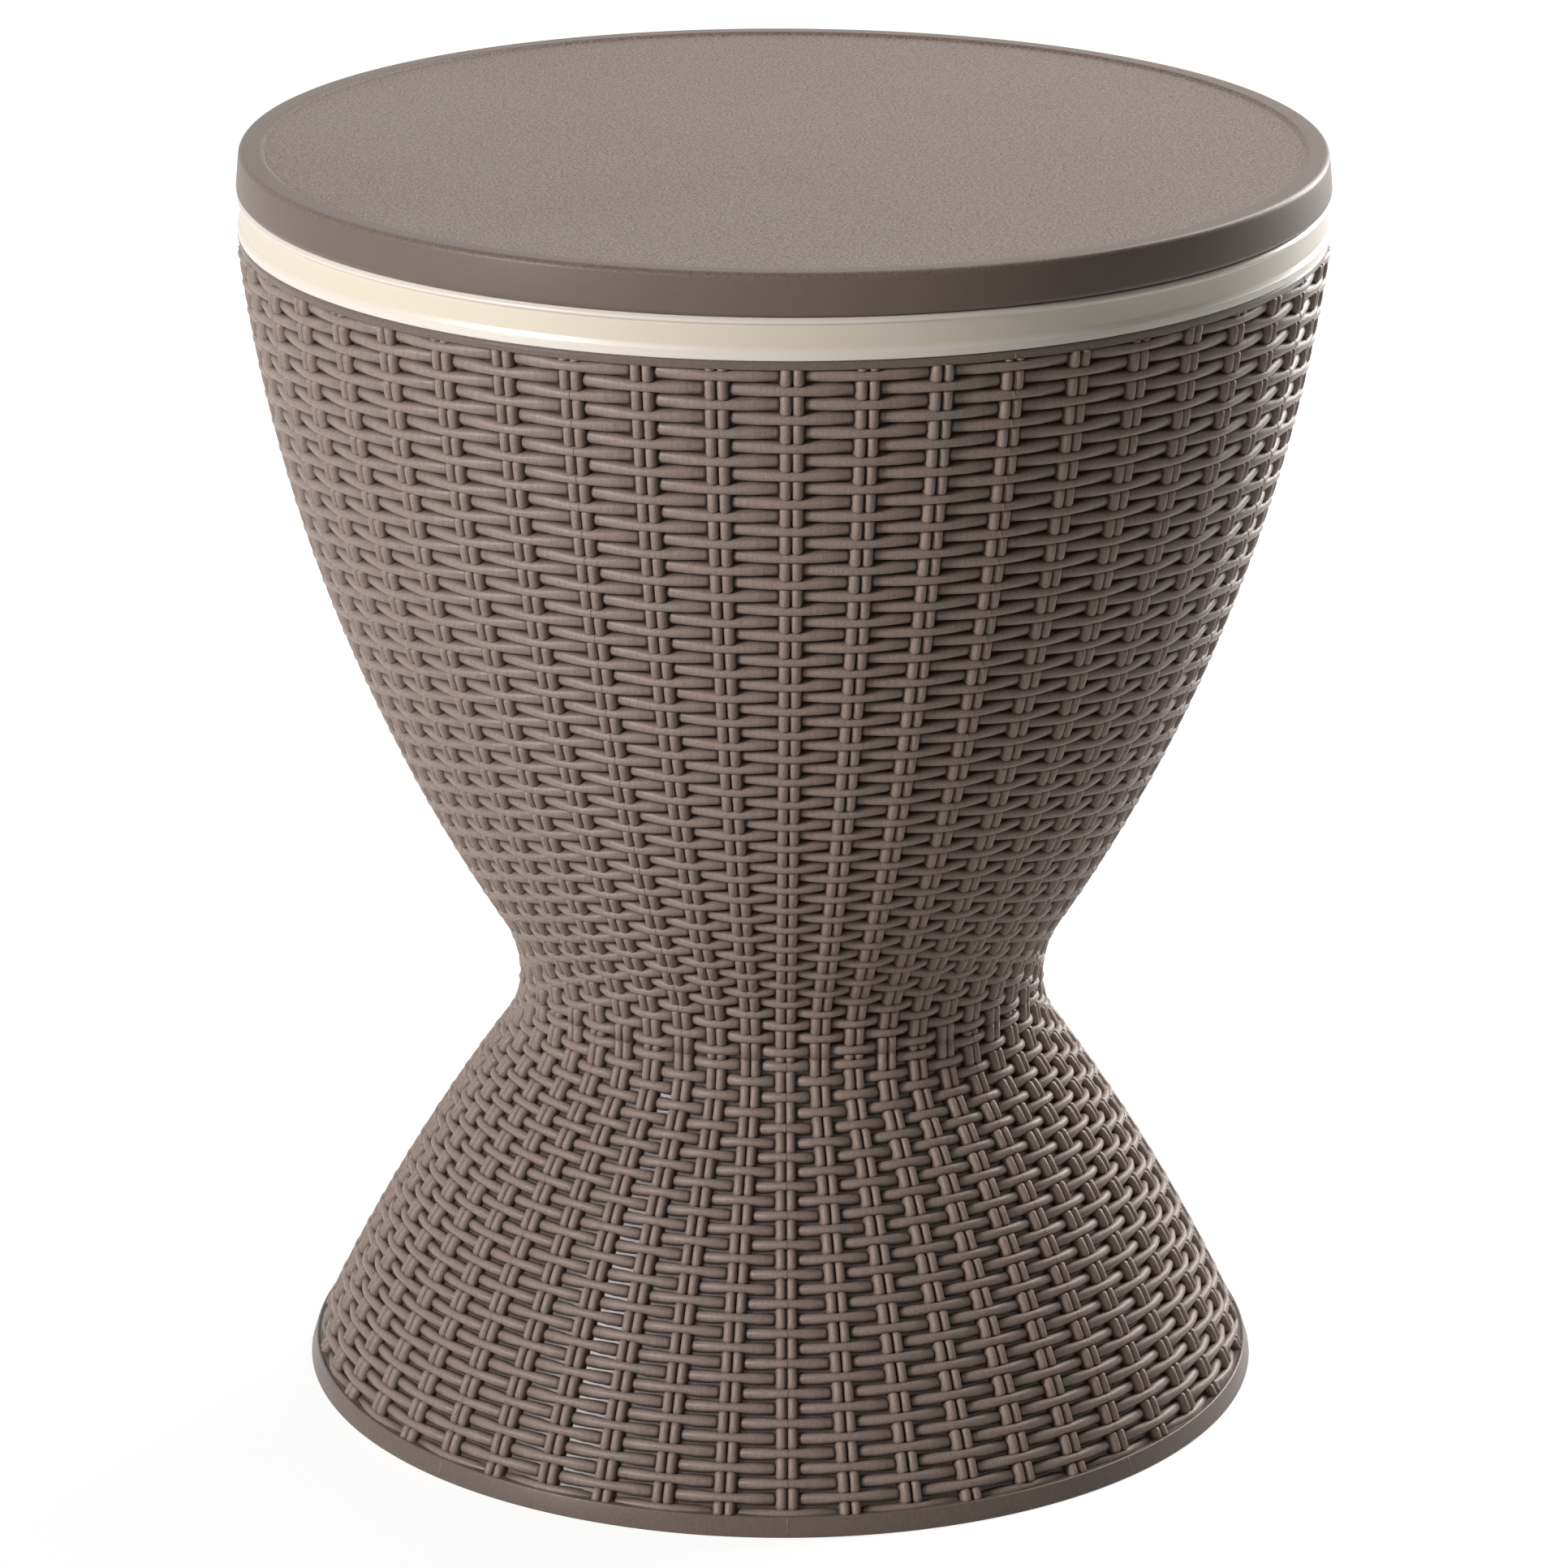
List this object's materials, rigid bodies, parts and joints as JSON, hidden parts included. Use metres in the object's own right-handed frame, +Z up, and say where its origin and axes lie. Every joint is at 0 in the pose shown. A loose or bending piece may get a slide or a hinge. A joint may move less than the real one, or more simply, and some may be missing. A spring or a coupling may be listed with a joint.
{
  "type": "cooler table with lid",
  "caption": "Hourglass side table in a basket-weave relief; its round tabletop lifts on a telescopic post and twists to lock over an ice bucket with a drain plug.",
  "frame": {"origin": "on the floor, at the middle of the pedestal's ring", "axes": "+Z up along the table's axis; -Y is the side the picture shows"},
  "size_m": [0.4884, 0.4884, 0.58],
  "materials": {
    "brown_tabletop": "fine-grained satin moulded plastic",
    "brown_wicker": "matte moulded plastic in a basket-weave relief",
    "brown_plastic": "satin moulded plastic",
    "cream_plastic": "satin-gloss moulded plastic",
    "brown_tube": "powder-coated tube",
    "fixed_tube": "mill-finish extruded tube",
    "black_plastic": "satin moulded plastic",
    "steel": "stainless steel",
    "rubber": "moulded rubber"
  },
  "bodies": {
    "stand": {"ice_bucket": "cream_plastic", "upper_wicker_shell": "brown_wicker", "lower_wicker_shell": "brown_wicker", "outer_post_tube": "fixed_tube", "post_collar": "brown_plastic", "collar_screws": "steel", "post_end_cap": "black_plastic", "post_clamp_nut": "black_plastic", "waist_bridge": "brown_plastic", "waist_screws": "steel", "drain_spigot": "cream_plastic", "drain_washer": "rubber", "drain_nut": "cream_plastic"},
    "post_guide": {"guide_bush": "black_plastic"},
    "tabletop": {"lid_top_panel": "brown_tabletop", "lid_underside": "brown_plastic", "lid_screws": "steel", "lid_hub": "brown_plastic", "lid_hub_screws": "steel", "post_pin": "steel", "inner_post": "brown_tube", "lock_cam": "black_plastic", "lock_cam_pin": "steel", "bush_clip": "steel"},
    "plug": {"drain_plug": "cream_plastic", "drain_plug_seal": "rubber"}
  },
  "joints": [
    {"name": "lid_lift", "type": "slide", "parent": "stand", "child": "post_guide", "axis": [0, 0, 1], "range_m": [0, 0.26]},
    {"name": "lid_twist", "type": "hinge", "parent": "post_guide", "child": "tabletop", "pos_m": [0, 0, 0.14], "axis": [0, 0, 1], "range_deg": [0, 35]},
    {"name": "drain_plug_pull", "type": "slide", "parent": "stand", "child": "plug", "axis": [0, 0, 1], "range_m": [0, 0.04]}
  ]
}
